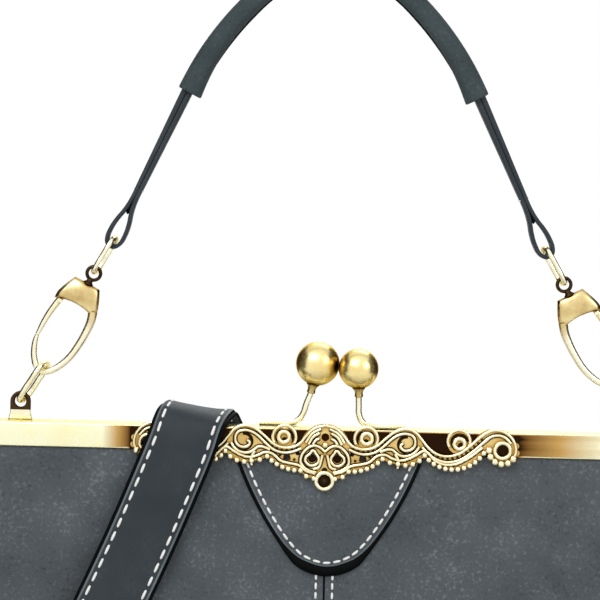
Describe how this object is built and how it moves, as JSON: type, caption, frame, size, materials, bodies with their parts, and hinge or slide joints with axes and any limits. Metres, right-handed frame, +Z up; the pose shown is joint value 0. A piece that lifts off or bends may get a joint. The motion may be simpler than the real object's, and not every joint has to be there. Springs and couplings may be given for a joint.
{
  "type": "kiss lock frame purse",
  "caption": "Leather purse on a hinged brass frame with a kiss lock, openwork ornament, clipped top handle and shoulder strap; opens forward at the leg ends.",
  "frame": {"origin": "middle of the base on the surface that the purse stands on", "axes": "+Z up, +X to the right seen from the front, front faces -Y"},
  "size_m": [0.3532, 0.1859, 0.3621],
  "materials": {
    "frame_brass": "bright antique brass",
    "antique_brass": "antique brass, polished high spots",
    "spring_steel": "plain",
    "body_leather": "slate grey, fine grain",
    "handle_leather": "dark slate",
    "strap_leather": "dark slate, smooth",
    "lining_cloth": "woven",
    "board": "fibre board",
    "paper_cord": "twisted paper"
  },
  "bodies": {
    "bag": {"back_frame": "frame_brass", "back_paper_cord": "paper_cord", "back_panel": "body_leather", "front_panel_lower": "body_leather", "front_fold": "body_leather", "base_panel": "body_leather", "base_board": "board", "lining": "lining_cloth", "left_gusset": "body_leather", "right_gusset": "body_leather", "left_pivot_rivet": "frame_brass", "right_pivot_rivet": "frame_brass", "left_ear": "antique_brass", "right_ear": "antique_brass", "left_ball": "antique_brass", "left_ball_stem": "antique_brass", "shoulder_strap": "strap_leather"},
    "front_half": {"front_frame": "frame_brass", "front_paper_cord": "paper_cord", "front_panel_upper": "body_leather", "tongue": "body_leather", "filigree_plate": "antique_brass", "right_ball": "antique_brass", "right_ball_stem": "antique_brass"},
    "links": {"left_link": "antique_brass", "right_link": "antique_brass"},
    "handle": {"handle_sleeve": "handle_leather", "handle_core": "paper_cord", "left_handle_strap": "handle_leather", "right_handle_strap": "handle_leather", "left_swivel_eye": "antique_brass", "right_swivel_eye": "antique_brass"},
    "left_ring": {"left_handle_ring": "antique_brass"},
    "left_clip": {"left_clip": "antique_brass", "left_gate_pin": "antique_brass", "left_gate_spring": "spring_steel"},
    "left_gate": {"left_gate": "antique_brass"},
    "right_ring": {"right_handle_ring": "antique_brass"},
    "right_clip": {"right_clip": "antique_brass", "right_gate_pin": "antique_brass", "right_gate_spring": "spring_steel"},
    "right_gate": {"right_gate": "antique_brass"}
  },
  "joints": [
    {"name": "frame_open", "type": "hinge", "parent": "bag", "child": "front_half", "pos_m": [0, 0, 0.125], "axis": [1, 0, 0], "range_deg": [0, 70], "deforming": ["front_fold", "shoulder_strap"]},
    {"name": "links_tilt", "type": "hinge", "parent": "bag", "child": "links", "pos_m": [0, 0.0027, 0.1919], "axis": [1, 0, 0], "range_deg": [-12, 12]},
    {"name": "handle_swing", "type": "hinge", "parent": "links", "child": "handle", "pos_m": [0, 0.0027, 0.20362], "axis": [1, 0, 0], "range_deg": [-60, 60]},
    {"name": "left_clip_swivel", "type": "hinge", "parent": "handle", "child": "left_clip", "pos_m": [-0.10773, 0.0027, 0.20362], "axis": [0.4602, 0, 0.8878], "range_deg": [-6, 6]},
    {"name": "left_gate_open", "type": "hinge", "parent": "left_clip", "child": "left_gate", "pos_m": [-0.10081, 0.0027, 0.23045], "axis": [0, -1, 0], "range_deg": [0, 22], "stiffness_Nm_per_rad": 0.01, "springref_deg": -17.19},
    {"name": "left_ring_twist", "type": "hinge", "parent": "handle", "child": "left_ring", "pos_m": [-0.08442, 0.0027, 0.24779], "axis": [0.5, 0, 0.866], "range_deg": [-10, 10]},
    {"name": "right_clip_swivel", "type": "hinge", "parent": "handle", "child": "right_clip", "pos_m": [0.10773, 0.0027, 0.20362], "axis": [-0.4602, 0, 0.8878], "range_deg": [-6, 6]},
    {"name": "right_gate_open", "type": "hinge", "parent": "right_clip", "child": "right_gate", "pos_m": [0.10081, 0.0027, 0.23045], "axis": [0, 1, 0], "range_deg": [0, 22], "stiffness_Nm_per_rad": 0.01, "springref_deg": -17.19},
    {"name": "right_ring_twist", "type": "hinge", "parent": "handle", "child": "right_ring", "pos_m": [0.08442, 0.0027, 0.24779], "axis": [-0.5, 0, 0.866], "range_deg": [-10, 10]}
  ]
}
